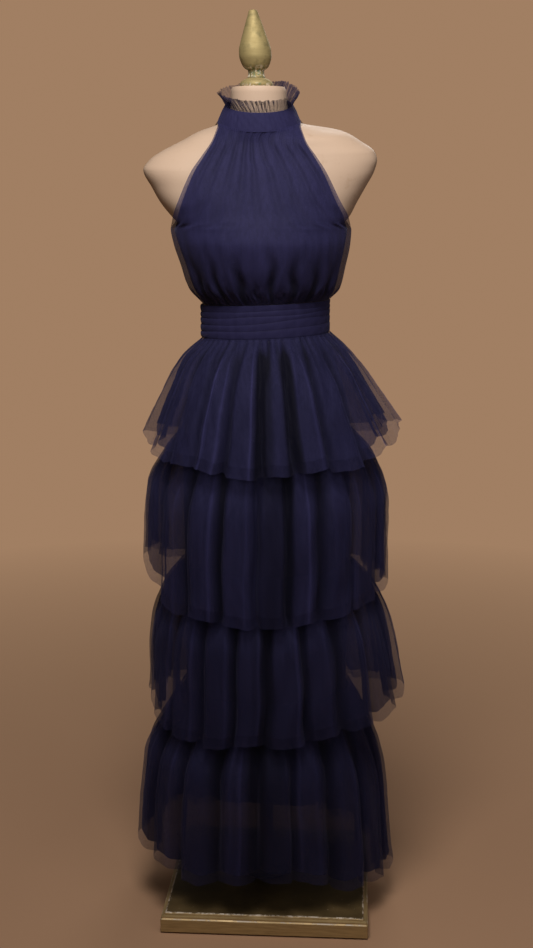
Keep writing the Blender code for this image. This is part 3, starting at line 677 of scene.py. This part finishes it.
def make_neck_ruffle(material):
    """A raw-edged frill of narrow pleats, each folded back under the next, that opens outward."""
    angles = np.linspace(0.0, 360.0, RUFFLE_PLEATS * 22, endpoint=False)[None, :]
    share = np.linspace(1.0, 0.0, 14)[:, None]
    phase = 2.0 * math.pi * angles / 360.0 * RUFFLE_PLEATS + 1.2 * ripple(angles, 0.0, 5, 19, 40)
    under = 360.0 / RUFFLE_PLEATS * mix(0.33, 0.5, share) * (1.0 + 0.18 * ripple(angles, 0.0, 4, 13, 41))
    slant = -RUFFLE_SLANT * (1.0 + 0.5 * ripple(angles, 0.0, 3, 9, 47)) * share
    slant = slant + 0.5 * ripple(angles, 1.6 * share, 9, 26, 45) * share
    turned_angle = angles + under * np.sin(phase) + slant
    thick = mix(0.0011, 0.0019, share)
    tall = np.exp(-((angles - RUFFLE_TALL_AT) / 26.0) ** 2)
    lean = 0.013 * share ** 1.15 + 0.0016 * ripple(angles, 1.4 * share, 3, 9, 42) * share
    lean = lean * (1.0 - 0.55 * tall)
    out = lean - thick * (1.0 + np.sin(phase))
    ragged = 0.0012 * ripple(angles, 0.0, 60, 190, 43) + 0.0011 * ripple(angles, 0.0, 12, 40, 44)
    lift = SEAM_GAP + (0.0212 + ragged + 0.0085 * tall) * share
    grid = band_points(BAND_TOP, turned_angle, out, lift)
    strip = 0.5 + 0.5 * ripple(turned_angle, 0.0, 38, 90, 46)
    # The frill's denser strips get painted shade, its sheer strips none
    marks = {"sheer": strip, "shade": 0.25 * (1.0 - strip)}
    made = cloth("tulle_neck_ruffle", "neck_ruffle", grid, True, material, **marks)


# ---- bodice ----
def waist_points(angle, height, out=0.0):
    cosine, sine = sines(angle)
    depth = np.where(sine < 0.0, WAIST_FRONT, WAIST_BACK) + out
    x = (WAIST_HALF + out) * cosine
    return points_at(x, depth * sine, height + WAIST_TILT * x)


def edge_angle(z, out, edge_x):
    """The angle on the form's section, moved out, at which the panel's edge lies."""
    left, right, _, _ = [float(value) for value in table_at(FORM_SECTIONS, z)]
    middle, half = (right - left) / 2.0, (right + left) / 2.0 + out
    share = min(1.0, abs(edge_x - middle) / half)
    angle = math.degrees(math.acos(share ** (FORM_SQUARENESS / 2.0)))
    return 180.0 - angle if edge_x < middle else angle


def bodice_grid(back, inset, share_out, tuck, puff=0.0):
    """The front or back as a fine grid, from the neck band down, in rising angle."""
    share = np.linspace(0.0, 1.0, BODICE_COLUMNS)
    side = 1.0 if back else -1.0
    seam_slip = math.degrees(SEAM_GAP / WAIST_HALF)

    def across(low, high):
        return side * mix(low, high, share)

    full = (180.0 - seam_slip, seam_slip)
    at_band = across(180.0 - BAND_SIDE_ANGLE, BAND_SIDE_ANGLE)
    rows = [band_points(BAND_LOW, at_band, -tuck, -SEAM_GAP)]
    for z, left, right, side_out, front_out in BODICE_ROWS:
        side_out, front_out = side_out * share_out[0] + puff, front_out * share_out[1]
        edge_inset = inset * (1.1 - 0.75 * (z - ARMHOLE_FOOT) / 0.16)
        low, high = full
        if left > 0.0:
            low = edge_angle(z, side_out, edge_inset - left)
            high = edge_angle(z, side_out, right - edge_inset)
        angle = across(low, high)
        out = mix(side_out, front_out, np.sin(np.radians(angle)) ** 2)
        rows.append(form_points(np.float64(z), angle, out))
    rows.append(waist_points(across(*full), WAIST_TOP + SEAM_GAP, -tuck))
    rows = np.array(rows)
    steps = np.linalg.norm(np.diff(rows, axis=0), axis=2).mean(1)
    place = np.concatenate([[0.0], np.cumsum(steps)])
    grid = eased(place, rows, np.linspace(0.0, place[-1], BODICE_LEVELS))
    return grid[:, ::-1] if back else grid


# Gathers that rise from the waistband: place across from -X to +X, width, height of the fold as a share
# of the bodice, depth
FRONT_WAIST_GATHERS = metres(
    (60, 18, 130, 4), (130, 20, 160, 5), (205, 30, 240, 10), (262, 13, 120, 4), (308, 22, 260, 9),
    (356, 11, 100, 3), (412, 27, 270, 10), (470, 12, 130, 4), (527, 20, 330, 9), (566, 10, 110, 3),
    (612, 27, 290, 10), (658, 11, 110, 3), (712, 30, 260, 10), (762, 11, 120, 4), (802, 24, 220, 9),
    (872, 20, 160, 5), (940, 18, 130, 4),
)
BACK_WAIST_GATHERS = metres(
    (80, 18, 150, 5), (185, 27, 230, 9), (290, 22, 190, 8), (385, 24, 250, 9), (455, 14, 130, 5),
    (545, 14, 140, 5), (620, 25, 240, 9), (715, 22, 200, 8), (815, 26, 230, 9), (920, 18, 150, 5),
)
# Soft folds that fan out from the neck band: place at the band, place at the bust, width, depth
FRONT_FAN_FOLDS = metres(
    (100, 70, 50, 2), (220, 170, 40, 2.6), (330, 290, 34, 2.2), (410, 390, 28, 2.6),
    (470, 490, 22, 2.6), (560, 580, 30, 2.2), (650, 700, 36, 2.6), (760, 810, 40, 2.2),
    (880, 920, 44, 2),
)
BACK_FAN_FOLDS = metres(
    (120, 90, 50, 2), (250, 210, 40, 2.4), (370, 340, 34, 2.2), (630, 660, 34, 2.2),
    (750, 790, 40, 2.4), (880, 910, 50, 2),
)


def bodice_relief(gathers, fan, seed):
    """How far the cloth lies behind its outermost surface, and its painted shade, point by point."""
    across = np.linspace(0.0, 1.0, BODICE_COLUMNS)[None, :]
    down = np.linspace(0.0, 1.0, BODICE_LEVELS)[:, None]
    sunk = np.zeros((BODICE_LEVELS, BODICE_COLUMNS))
    shade = np.zeros_like(sunk)
    for at_band, at_bust, width, depth in fan:
        middle = mix(at_band, at_bust, down / 0.62)
        fade = smooth(down / 0.06) * (1.0 - smooth((down - 0.3) / 0.5))
        wide = width * mix(0.6, 1.35, down)
        fold = fade * np.exp(-((across - middle) / wide) ** 2)
        sunk += 1.5 * depth * fold
        # Each fan fold is also painted darker along its middle: painted shade
        shade += 80.0 * depth * fold
    for place, width, reach, depth in gathers:
        up = (1.0 - down) / reach
        fade = smooth(1.15 - up) * mix(0.6, 1.0, smooth((1.0 - down) / 0.05))
        middle = place + (place - 0.5) * 0.06 * (1.0 - down) + 0.006 * np.sin(9.0 * up + 40.0 * place)
        wide = width * mix(0.45, 1.0, np.clip(up, 0.0, 1.0))
        fold = fade * np.exp(-(np.abs(across - middle) / wide) ** 2.4)
        sunk += depth * fold
        # Each gather is also painted darker along its middle: painted shade
        shade += 125.0 * depth * fold
    near_waist = smooth((down - 0.86) / 0.12)
    uneven = 0.6 * ripple(across * 360.0, 0.0, 2, 7, seed)
    fine = 0.5 + 0.5 * np.sin(2.0 * math.pi * (across * 46.0 + uneven))
    sunk += 0.0014 * fine * near_waist
    # Painted shade in the fine gathers at the waist
    shade += 0.3 * fine * near_waist
    near_band = (1.0 - smooth(down / 0.2)) * smooth(down / 0.02)
    sunk += 0.0008 * fine * near_band
    # Painted shade in the fine gathers under the band
    shade += 0.12 * fine * near_band
    sunk += 0.0007 * (1.0 + ripple(across * 300.0, 2.4 * down, 6, 22, seed + 1)) * smooth(down / 0.1)
    room = np.minimum(smooth((1.0 - down) / 0.18), smooth((down + 0.02) / 0.34))
    sunk = np.minimum(sunk, mix(0.0012, 0.01, room))
    edge = np.minimum(across, 1.0 - across)
    rim = (edge < 0.008) * np.ones_like(down)
    return sunk, {"shade": shade, "rim": rim}


def laid_in(grid, sunk):
    return grid - normals_of(grid) * sunk[..., None]


def make_bodice(tulle_material, lining_material):
    sunk, marks = bodice_relief(FRONT_WAIST_GATHERS, FRONT_FAN_FOLDS, 51)
    front = laid_in(bodice_grid(False, 0.0, (1.0, 1.0), 0.0, BODICE_PUFF), sunk)
    made = cloth("tulle_bodice_front", "bodice_front", front, False, tulle_material, **marks)
    sunk, marks = bodice_relief(BACK_WAIST_GATHERS, BACK_FAN_FOLDS, 57)
    back = laid_in(bodice_grid(True, 0.0, (1.0, 1.0), 0.0, BODICE_PUFF), sunk)
    middle = BODICE_COLUMNS // 2
    for name, columns, aside in (("left", slice(0, middle), -1.0), ("right", slice(middle, None), 1.0)):
        half = back[:, columns].copy()
        half[:, -1 if aside < 0.0 else 0, 0] = -aside * SEAM_GAP
        cut = {mark: values[:, columns] for mark, values in marks.items()}
        node = f"bodice_back_{name}"
        made = cloth(f"tulle_{node}", node, half, False, tulle_material, **cut)
    for name, is_back in (("front", False), ("back", True)):
        grid = bodice_grid(is_back, LINING_EDGE_INSET, LINING_SHARE, LINING_TUCK)
        node = f"bodice_lining_{name}"
        made = cloth(f"lining_bodice_{name}", node, grid, False, lining_material, "navy_lining")


# ---- waistband ----
# Where the waistband's pleats start, as shares of its height at the wearer's right and left: the
# photograph's, where the solid's pleats are all alike
WAIST_PLEATS = ((0.0, 0.0), (0.22, 0.16), (0.4, 0.3), (0.62, 0.46), (0.82, 0.7), (1.0, 1.0))


def make_waistband(material):
    """Soft pleats that lap down over each other and draw together towards the wearer's left."""
    levels, columns = 90, 360
    angles = np.linspace(0.0, 360.0, columns, endpoint=False)[None, :]
    share = np.linspace(0.0, 1.0, levels)[:, None] * np.ones((1, columns))
    to_left = 0.5 + 0.5 * np.cos(np.radians(angles)) * np.ones((levels, 1))
    lap = np.zeros((levels, columns))
    crease = np.zeros((levels, columns))
    for index, (upper, lower) in enumerate(zip(WAIST_PLEATS[:-1], WAIST_PLEATS[1:])):
        start, end = mix(upper[0], upper[1], to_left), mix(lower[0], lower[1], to_left)
        if index > 0:
            start = start + 0.022 * ripple(angles, 0.0, 1, 5, 60 + index)
        if index < len(WAIST_PLEATS) - 2:
            end = end + 0.022 * ripple(angles, 0.0, 1, 5, 61 + index)
        within = np.clip((share - start) / (end - start), 0.0, 1.0)
        inside = (share >= start) & (share < end)
        roll = np.sin(math.pi * np.clip(within / 0.96, 0.0, 1.0)) ** 0.4
        lap = np.where(inside, roll * mix(1.0, 0.45, within), lap)
        # Painted shade at the top and the bottom of each pleat
        shadow = np.exp(-(within / 0.1) ** 2) + np.exp(-((1.0 - within) / 0.06) ** 2)
        crease = np.where(inside, shadow, crease)
    fine = ripple(angles, 3.0 * share, 8, 46, 63)
    bulge = 0.005 * np.clip(-np.cos(np.radians(angles)), 0.0, 1.0) ** 6
    out = -0.0014 + 0.0011 * lap + 0.0003 * fine + bulge * (0.72 + 0.28 * lap)
    height = mix(WAIST_TOP, WAIST_BOTTOM, share)
    grid = waist_points(angles, height, out)
    # The pleats' creases are darkened with painted shade
    shade = 0.45 * crease * (0.7 + 0.3 * ripple(angles, 2.0 * share, 1, 6, 68))
    made = cloth("tulle_waistband", "waistband", grid, True, material, shade=shade)


# ---- skirt ----
def lining_points(z, angle, out=0.0):
    half, depth = table_at(LINING_ROWS, z)
    cosine, sine = sines(angle)
    return points_at((half + out) * cosine, (depth + out) * sine, z)


def make_skirt_lining(material):
    """An opaque slip with a few soft flutes towards its uneven hem."""
    angles = np.linspace(0.0, 360.0, 300, endpoint=False)[None, :]
    share = np.linspace(0.0, 1.0, 90)[:, None]
    hem = LINING_HEM + 0.008 * ripple(angles, 0.0, 2, 6, 71)
    z = mix(WAIST_BOTTOM - SEAM_GAP, hem, share)
    flutes = 0.0035 * (1.0 + ripple(angles, 1.1 * share, 5, 13, 72)) * smooth((share - 0.15) / 0.6)
    grid = lining_points(np.clip(z, LINING_HEM, None), angles, -flutes)
    grid[..., 2] = z + WAIST_TILT * grid[..., 0] * (1.0 - smooth(share / 0.2))
    made = cloth("lining_skirt", "skirt_lining", grid, True, material, "navy_lining")


def ridge_angles(tier):
    front = [270.0 + degrees for degrees in FRONT_RIDGES[tier]]
    gap = (front[0] + 360.0 - front[-1]) / (BACK_RIDGES[tier] + 1)
    back = []
    for i in range(1, BACK_RIDGES[tier] + 1):
        back.append(front[-1] + gap * (i + BACK_RIDGE_DRIFT * math.sin(2.9 * i + tier)))
    return front + back


def hem_heights(tier, angle):
    heights = np.array(TIER_HEM[tier])
    place = (angle % 360.0) / 45.0
    first = np.floor(place).astype(int) % 8
    return mix(heights[first], heights[(first + 1) % 8], smooth(place - np.floor(place)))


VALLEY_SHARE = 0.52  # how much of a fold is its steep sides; the rest is a broad ridge
VALLEY_FLOOR = 0.1  # how much of a fold is the flat of its valley
OVERHANG = 0.085  # how far a ridge leans over its own valleys, as a share of the fold
# How much painted shade darkens the front valleys, from the wearer's right to the left
FRONT_SHADE = {
    1: (0.6, 0.5, 0.4, 0.65, 1.0, 1.0, 0.65, 0.55, 0.6),
    2: (0.5, 0.8, 1.0, 0.35, 0.9, 0.85, 0.45, 0.5),
    3: (0.5, 0.5, 0.55, 0.95, 0.9, 0.85, 0.8, 0.5, 0.5),
    4: (0.6, 0.5, 0.95, 1.0, 0.6, 0.9, 0.65, 0.5),
}
# Stretches at the front where the folds lie far back and are given painted shade: middle and half width in
# degrees from straight ahead, how dark
FRONT_GLOOM = {
    1: ((-1.2, 4.6, 0.75), (13.0, 4.6, 0.75)),
    2: ((4.6, 8.5, 0.6),),
    3: ((-1.5, 5.0, 0.45),),
    4: ((1.0, 9.5, 0.6),),
}
# Sides on which a tier stands out as one smooth wing: the wearer's right, left
WINGS = {1: (1.0, 1.0), 2: (0.25, 0.15), 3: (0.1, 0.9), 4: (0.0, 0.0)}
# How much one fold's hem may hang above or below its place
HEM_UNEVEN = {1: 0.005, 2: 0.006, 3: 0.006, 4: 0.011}
# How much painted shade darkens a whole tier, most by its hem: it stands for the dark inside the skirt
TIER_DIM = {1: 0.0, 2: 0.04, 3: 0.38, 4: 0.55}
# How sheer each layer gets towards its hem, from 0 to 1
OUTER_SHEER = 0.55
# The lowest tier's underlayer stays dense to its hem, standing in for the shade under the skirt
UNDER_SHEER = {1: 0.2, 2: 0.2, 3: 0.2, 4: 0.0}
SEAM_STAND = 0.0033  # how far off the lining a tier starts at its seam
WING_WIDTH = 0.34  # sine of the angle at which a wing has died away


def fold_plan(tier):
    """A tier's folds, column by column: their places, depth, painted shade and painted highlight."""
    ridges = ridge_angles(tier)
    count = len(ridges)
    heights = np.array([RIDGE_HEIGHTS[(i + tier) % len(RIDGE_HEIGHTS)] for i in range(count)])
    chance = np.random.default_rng(80 + tier)
    tightness = chance.uniform(0.7, 1.3, count)
    hem_shift = chance.uniform(-1.0, 1.0, count) * HEM_UNEVEN[tier]
    # How much painted shade each fold's valley gets
    valley_shade = chance.uniform(0.45, 0.95, count)
    valley_shade[:len(FRONT_SHADE[tier])] = FRONT_SHADE[tier]
    tightness = tightness * mix(0.8, 1.3, valley_shade)
    # How strong each fold's painted highlight is, and on which of its edges it lies
    highlight_strength = chance.uniform(0.1, 1.0, count)
    highlight_side = np.where(chance.uniform(0.0, 1.0, count) < 0.75, -1.0, 1.0)

    edges = np.array(ridges + [ridges[0] + 360.0])
    start = np.linspace(edges[0], edges[-1], TIER_COLUMNS, endpoint=False)
    fold = np.clip(np.searchsorted(edges, start, side="right") - 1, 0, count - 1)
    after = (fold + 1) % count
    width = edges[fold + 1] - edges[fold]
    part = (start - edges[fold]) / width
    near = np.abs(2.0 * part - 1.0)
    steep = VALLEY_SHARE * tightness[fold]
    rise = smooth((near - VALLEY_FLOOR) / (steep - VALLEY_FLOOR)) ** 0.85
    height = mix(heights[fold], heights[after], smooth(part))
    lit_side = np.where(part > 0.5, 1.0, -1.0) == highlight_side[fold]
    return SimpleNamespace(
        start=start,
        lean=OVERHANG * np.sin(2.0 * math.pi * part) * width,
        rise=rise,
        wave=height * (0.9 * rise + 0.1 * (1.0 - (1.0 - near) ** 2)),
        valley_shade=valley_shade[fold],
        # The painted highlight along one lit edge of a fold
        painted_highlight=np.exp(-((near - steep - 0.05) / 0.045) ** 2) * lit_side * highlight_strength[fold],
        hem_shift=mix(hem_shift[fold], hem_shift[after], smooth((part - 0.35) / 0.3)),
    )


def seam_reach(tier):
    """The row of a tier's reach at its seam, on the waistband or just outside the lining."""
    if tier == 1:
        return (0.0, WAIST_HALF, WAIST_HALF, WAIST_FRONT, WAIST_BACK, 0.0)
    half, depth = [float(value) + SEAM_STAND for value in table_at(LINING_ROWS, TIER_SEAM[tier])]
    return (0.0, half, half, depth, depth, 0.0)


def tier_grid(tier, underlayer):
    """One layer of a tier from its seam down to its hem, and its marks."""
    folds = fold_plan(tier)
    start = folds.start
    share = np.linspace(0.0, 1.0, TIER_ROWS)[:, None] ** 1.15
    if underlayer:
        longest = TIER_SEAM[tier] - min(TIER_HEM[tier])
        share = share * (1.0 - UNDERLAYER_SHORTER / longest)
    wander = 1.1 * ripple(start, 2.0 * share, 2, 7, 90 + tier) * share
    angle = start + folds.lean * smooth(share / 0.5) + wander
    cosine, sine = sines(angle)
    to_right, to_left = WINGS[tier]
    wing = np.where(cosine < 0.0, to_right, to_left) * np.exp(-(sine / WING_WIDTH) ** 2)
    wing = wing * smooth(share / 0.5)

    # The outer surface
    inset = UNDERLAYER_INSET if underlayer else 0.0
    left, right, front, back, fold_depth = table_at((seam_reach(tier),) + TIER_REACH[tier], share)
    reach_x = np.where(cosine > 0.0, right, left) - inset
    reach_y = np.where(sine < 0.0, front, back) - inset
    if underlayer:
        reach_x = reach_x - 0.014 * wing * share
    else:
        fold_depth = fold_depth * (1.0 - 0.8 * wing)
        reach_x = reach_x - 0.01 * wing * (1.0 - np.exp(-np.abs(sine) / 0.16)) * share
    x, y = reach_x * cosine, reach_y * sine

    # Folds, small gathers under the seam, soft waves and crumples lie behind it
    tucks = 52 if tier == 1 else 66
    pucker_phase = np.radians(start) * tucks + 2.4 * ripple(start, 0.0, 5, 19, 95 + tier)
    puckers = (0.5 + 0.5 * np.sin(pucker_phase)) * (0.75 + 0.25 * ripple(start, 0.0, 7, 23, 97 + tier))
    pucker_fade = smooth(share / 0.03) * (1.0 - smooth((share - 0.04) / 0.34))
    pucker_depth = (0.0042 if tier == 1 else 0.003) * pucker_fade
    soft = 0.002 * (1.0 + ripple(start, 2.5 * share, 18, 44, 100 + tier)) * smooth(share / 0.3)
    crumple = 0.0006 * ripple(start, 9.0 * share, 60, 150, 105 + tier)
    sunk = fold_depth * (1.0 - folds.wave) + pucker_depth * puckers + soft * (1.0 - 0.6 * wing) + crumple
    inward = 1.0 - sunk / np.hypot(x, y)
    x, y = x * inward, y * inward

    hem = hem_heights(tier, angle) + folds.hem_shift + 0.0014 * ripple(start, 0.0, 24, 70, 110 + tier)
    z = mix(TIER_SEAM[tier] - SEAM_GAP, hem, share)
    if tier == 1:
        z = z + WAIST_TILT * x * (1.0 - share)

    # Painted shade: in the valleys, in the dark stretches at the front, in the gathers under the seam, and
    # over the whole tier, most by its hem
    valley = 1.0 - folds.rise
    shade = valley ** 0.7 * folds.valley_shade * smooth((share - 0.03) / 0.14) * (1.0 - 0.85 * wing)
    for middle, half, strength in FRONT_GLOOM[tier]:
        within = np.exp(-(np.abs(angle - 270.0 - middle) / half) ** 4)
        shade = shade + strength * within * smooth((share - 0.04) / 0.2)
    shade = shade + 0.75 * puckers ** 2 * pucker_fade
    dim = TIER_DIM[tier] * mix(0.6, 1.0, share)
    shade = dim + (1.0 - dim) * np.clip(shade, 0.0, 1.0)
    # Painted highlight along a fold's lit edge
    lit = folds.painted_highlight * smooth((share - 0.05) / 0.2)
    if underlayer:
        thinnest = UNDER_SHEER[tier]
    else:
        thinnest = OUTER_SHEER
        # and a painted highlight in a narrow line down the side of each wing
        lit = np.maximum(lit, 0.8 * wing * np.exp(-(sine / 0.03) ** 2))
    sheer = thinnest * smooth((share - 0.05) / 0.7) * (1.0 - 0.5 * valley)
    grid = points_at(x, y, z)
    return grid, {"shade": shade, "edge": lit, "sheer": sheer}


def make_tier(tier, material, under_material):
    node = f"tier_{tier}"
    grid, marks = tier_grid(tier, False)
    outer = cloth(f"tulle_{node}", node, grid, True, material, **marks)
    grid, marks = tier_grid(tier, True)
    inner = cloth(f"tulle_{node}_under", f"{node}_underlayer", grid, True, under_material, **marks)


# ---- stage ----
def make_floor(material):
    size = 30.0
    corners = [(-size, -size, 0.0), (size, -size, 0.0), (size, size, 0.0), (-size, size, 0.0)]
    floor = add_mesh("studio_floor", corners, [(0, 1, 2, 3)], material)


def area_light(name, place, aim, size, power, colour):
    data = bpy.data.lights.new(name, "AREA")
    data.shape = "DISK"
    data.size = size
    data.energy = power
    data.color = colour
    light = bpy.data.objects.new(name, data)
    light.location = place
    direction = np.array(aim, float) - np.array(place, float)
    yaw = math.atan2(direction[1], direction[0]) - math.pi / 2.0
    pitch = math.atan2(direction[2], math.hypot(direction[0], direction[1])) + math.pi / 2.0
    light.rotation_euler = (pitch, 0.0, yaw)
    SCENE.collection.objects.link(light)


def make_lights():
    area_light("key", (-0.14, -1.15, 2.5), (0.0, 0.0, 1.2), 0.8, 30.0, (1.0, 0.95, 0.88))
    area_light("fill", (1.5, -2.1, 1.9), (0.0, 0.0, 1.0), 1.6, 7.0, (1.0, 0.96, 0.92))
    area_light("back", (0.4, 1.5, 2.0), (0.0, 0.0, 1.1), 1.0, 8.0, (1.0, 0.96, 0.92))
    world = bpy.data.worlds.new("studio")
    SCENE.world = world
    world.use_nodes = True
    nodes, links = world.node_tree.nodes, world.node_tree.links
    seen, felt = nodes["Background"], nodes.new("ShaderNodeBackground")
    for background, colour, strength in ((seen, BACKDROP, 1.0), (felt, ROOM_LIGHT, 0.09)):
        background.inputs["Color"].default_value = (*colour, 1.0)
        background.inputs["Strength"].default_value = strength
    to_camera = nodes.new("ShaderNodeLightPath").outputs["Is Camera Ray"]
    chosen = nodes.new("ShaderNodeMixShader")
    for socket, source in zip(chosen.inputs, (to_camera, felt.outputs[0], seen.outputs[0])):
        links.new(source, socket)
    links.new(chosen.outputs[0], nodes["World Output"].inputs["Surface"])


def make_camera():
    data = bpy.data.cameras.new("photo_camera")
    data.sensor_fit = "VERTICAL"
    data.sensor_height = SENSOR
    data.lens = FOCAL_PIXELS / PHOTO_HEIGHT * SENSOR
    data.dof.use_dof = False
    camera = bpy.data.objects.new("photo_camera", data)
    camera.location = CAMERA_PLACE
    camera.rotation_euler = (math.pi / 2.0 - CAMERA_DOWN, 0.0, 0.0)
    SCENE.collection.objects.link(camera)
    SCENE.camera = camera


# ---- the whole ----
def main():
    make_camera()
    make_lights()
    make_floor(floor_paint())
    SCENE.view_settings.view_transform = "Standard"
    SCENE.cycles.transparent_max_bounces = 32

    nets = {name: tulle(f"tulle_{name}", *look) for name, look in NETS.items()}
    lining = lining_cloth()
    patina_from = NECK_TOP + CAP_PROFILE[-1][1]
    metals = {
        "pole": pole_paint(),
        "cap": gilt("gilt_cap", NECK_TOP, NECK_TOP + 0.002),
        "finial": gilt("gilt_finial", patina_from, patina_from + 0.016),
    }

    make_base(base_paint())
    make_stand(metals)
    make_form(form_paint())
    make_skirt_lining(lining)
    make_waistband(nets["bands"])
    make_neck_band(nets["bands"])
    make_neck_ruffle(nets["frill"])
    make_bodice(nets["bodice"], lining)
    for tier in TIER_REACH:
        make_tier(tier, nets["skirt"], nets["hem_under" if tier == 4 else "under"])


main()
